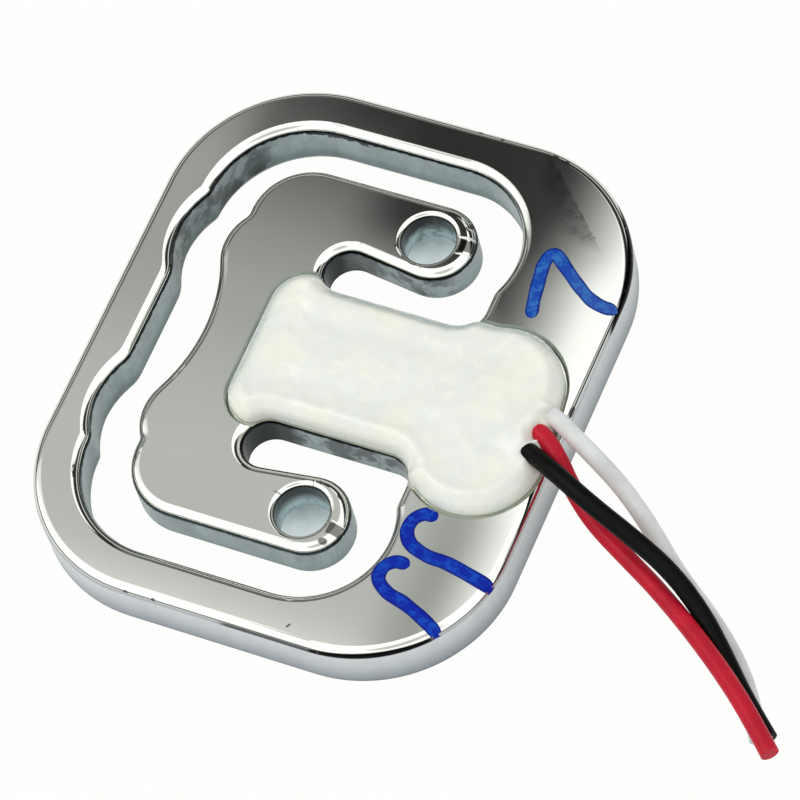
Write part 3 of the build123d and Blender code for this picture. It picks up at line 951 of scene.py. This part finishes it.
class LOADCELL_OT_sealant(bpy.types.Operator):
    """Lays the soft skin of the sealant over the gauge, the joints and the first of the leads"""

    bl_idname = "loadcell.sealant"
    bl_label = "Sealant"

    def execute(self, context):
        mesh = self.even_skin(context)
        work = bmesh.new()
        work.from_mesh(mesh)
        relax(work, 6)
        self.shape(work)
        relax(work, 3)
        for face in work.faces:
            face.smooth = True
        work.to_mesh(mesh)
        work.free()
        mesh.name = "sealant_skin"
        piece = bpy.data.objects.new("sealant_skin", mesh)
        context.scene.collection.objects.link(piece)
        finish_piece(piece, sealant_material())
        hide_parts("sealant")
        return {"FINISHED"}

    def even_skin(self, context):
        # The moulded shape, made solid over the joints and led a little way along each lead
        rough = bpy.data.objects.new("sealant_rough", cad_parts["sealant"].data.copy())
        context.scene.collection.objects.link(rough)
        work = bmesh.new()
        work.from_mesh(rough.data)
        bmesh.ops.remove_doubles(work, verts=work.verts, dist=0.002 * MM)
        middle = Matrix.Translation(Vector((0.9, 0.0, 3.57)) * MM)
        block = middle @ Matrix.Diagonal((10.6 * MM, 6.0 * MM, 1.1 * MM, 1.0))
        bmesh.ops.create_cube(work, size=1.0, matrix=block)
        for colour, route in ROUTES.items():
            ends = [Vector(p) * MM for p in route[:4]]
            share = (GRIP_ENDS[colour] - route[2][0]) / (route[3][0] - route[2][0])
            ends[3] = ends[2].lerp(ends[3], share)
            for a, b in zip(ends, ends[1:]):
                self.add_grip(work, a, b)
        work.to_mesh(rough.data)
        work.free()
        remesh = rough.modifiers.new("even", "REMESH")
        remesh.mode = "VOXEL"
        remesh.voxel_size = context.scene.load_cell_sealant.voxel
        graph = context.evaluated_depsgraph_get()
        mesh = bpy.data.meshes.new_from_object(rough.evaluated_get(graph))
        bpy.data.objects.remove(rough)
        return mesh

    def add_grip(self, work, a, b):
        radius = GRIP_RADIUS * MM
        turn = (b - a).to_track_quat("Z", "Y").to_matrix().to_4x4()
        bmesh.ops.create_cone(
            work, cap_ends=True, segments=32, radius1=radius, radius2=radius,
            depth=(b - a).length, matrix=Matrix.Translation((a + b) / 2) @ turn,
        )
        bmesh.ops.create_uvsphere(
            work, u_segments=32, v_segments=16, radius=radius, matrix=Matrix.Translation(b)
        )

    def shape(self, work):
        # Profile from the rim inwards, in millimetres, with lumps, a ridge and mounds on it
        rim = [v for v in work.verts if 3.38 < v.co.z / MM < 3.55 and abs(v.normal.z) < 0.5]
        tree = kdtree.KDTree(len(rim))
        for k, v in enumerate(rim):
            tree.insert((v.co.x, v.co.y, 0.0), k)
        tree.balance()
        work.normal_update()
        for v in work.verts:
            x, y, z = v.co / MM
            if z < 3.3:
                continue
            rise = soft_step((z - 3.45) / 0.6)
            near, _, inward = tree.find((v.co.x, v.co.y, 0.0))
            inward /= MM
            # The far edges thin out to a long slope, the near ones stay full
            away = (near.x / MM - x) * FAR_WAY[0] + (near.y / MM - y) * FAR_WAY[1]
            far = min(1.0, max(0.0, away / max(inward, 0.05) * 1.25 + 0.1))
            part = 1.0 - (1.0 - min(1.0, inward / (0.9 + 0.85 * far))) ** 2
            slope = 3.36 + 0.94 * ((1.0 - far) * math.sqrt(part) + far * part)
            if z < 4.32:
                v.co.z = min(z, slope) * MM
            lump = 0.10 * noise_at(x * 0.42, y * 0.42, 1.7)
            lump += 0.07 * noise_at(x * 1.25, y * 1.25, 5.2)
            ridge = 0.15 * math.exp(-(((inward - 0.85) / 0.34) ** 2))
            hollow = -0.10 * math.exp(-(((inward - 2.3) / 0.9) ** 2))
            mound = 0.0
            for at_x, at_y, high, spread_x, spread_y in MOUNDS:
                off = ((x - at_x) / spread_x) ** 2 + ((y - at_y) / spread_y) ** 2
                mound += high * math.exp(-off)
            lift = (lump + ridge + hollow) * rise + mound * min(1.0, rise * 1.6)
            v.co.z += lift * MM


class LOADCELL_OT_ink(bpy.types.Operator):
    """Draws the marker strokes on the sheet's top"""

    bl_idname = "loadcell.ink"
    bl_label = "Marker Strokes"

    def execute(self, context):
        width = context.scene.load_cell_ink.width
        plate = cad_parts["steel_plate"].data
        corners = [v.co for v in plate.vertices]
        tree = BVHTree.FromPolygons(corners, [p.vertices for p in plate.polygons])
        across = 9
        vertices = []
        faces = []
        places = []
        for stroke, points in enumerate(STROKES):
            line = smooth_line([Vector((x, y, 0.0)) * MM for x, y in points], STROKE_STEP)
            total = len(line) - 1
            faces += ribbon_faces(len(vertices), total, across)
            for k, point in enumerate(line):
                way = (line[min(k + 1, total)] - line[max(k - 1, 0)]).normalized()
                side = Vector((-way.y, way.x, 0.0))
                # Round ends and slightly wavy sides
                end = min(1.0, min(k, total - k) * STROKE_STEP / (0.5 * width))
                narrow = math.sqrt(max(0.02, 1.0 - (1.0 - end) ** 2))
                wobble = 1.0 + 0.10 * noise_at(k * 0.11, stroke * 3.1, 0.5)
                for j in range(across):
                    share = j / (across - 1) - 0.5
                    place = point + side * (share * width * narrow * wobble)
                    vertices += self.layer(tree, place, share)
                    places += [(k / total, j / (across - 1))] * 2
        mesh = bpy.data.meshes.new("marker_strokes")
        mesh.from_pydata(vertices, [], faces)
        uv = mesh.uv_layers.new(name="stroke")
        for loop in mesh.loops:
            uv.data[loop.index].uv = places[loop.vertex_index]
        work = bmesh.new()
        work.from_mesh(mesh)
        bmesh.ops.recalc_face_normals(work, faces=work.faces)
        for face in work.faces:
            face.smooth = True
        work.to_mesh(mesh)
        work.free()
        piece = bpy.data.objects.new("marker_strokes", mesh)
        context.scene.collection.objects.link(piece)
        finish_piece(piece, ink_material())
        return {"FINISHED"}

    def layer(self, tree, place, share):
        # The ink's upper and lower point here, on the top or round the sheet's rolled edge
        out = UP
        hit = tree.ray_cast(Vector((place.x, place.y, 10 * MM)), -UP)[0]
        if hit is None or hit.z < 2.4 * MM:
            hit, out = tree.find_nearest(Vector((place.x, place.y, 2.9 * MM)))[:2]
        thick = 0.016 * math.sqrt(max(0.0, 1.0 - (2 * share) ** 2)) + 0.006
        return [hit + out * thick * MM, hit - out * 0.01 * MM]


class LOADCELL_PT_panel(bpy.types.Panel):
    bl_label = "Load Cell"
    bl_idname = "LOADCELL_PT_panel"
    bl_space_type = "VIEW_3D"
    bl_region_type = "UI"
    bl_category = "Load Cell"

    def draw(self, context):
        for operator in OPERATORS:
            self.layout.operator(operator.bl_idname)
        for group in SETTINGS:
            values = getattr(context.scene, group)
            for name in values.__annotations__:
                self.layout.prop(values, name)


SETTINGS = {
    "load_cell_plate": LoadCellPlate,
    "load_cell_sealant": LoadCellSealant,
    "load_cell_leads": LoadCellLeads,
    "load_cell_ink": LoadCellInk,
    "load_cell_stage": LoadCellStage,
}
OPERATORS = (
    LOADCELL_OT_stage,
    LOADCELL_OT_leads,
    LOADCELL_OT_plate,
    LOADCELL_OT_gauge,
    LOADCELL_OT_sealant,
    LOADCELL_OT_ink,
)


def register():
    for name, group in SETTINGS.items():
        bpy.utils.register_class(group)
        setattr(bpy.types.Scene, name, bpy.props.PointerProperty(type=group))
    for operator in OPERATORS:
        bpy.utils.register_class(operator)
    bpy.utils.register_class(LOADCELL_PT_panel)


def unregister():
    bpy.utils.unregister_class(LOADCELL_PT_panel)
    for operator in reversed(OPERATORS):
        bpy.utils.unregister_class(operator)
    for name, group in SETTINGS.items():
        delattr(bpy.types.Scene, name)
        bpy.utils.unregister_class(group)


def main():
    register()
    bpy.ops.loadcell.stage()
    bpy.ops.loadcell.leads()
    bpy.ops.loadcell.plate()
    bpy.ops.loadcell.gauge()
    bpy.ops.loadcell.sealant()
    bpy.ops.loadcell.ink()


if __name__ == "__main__":
    main()
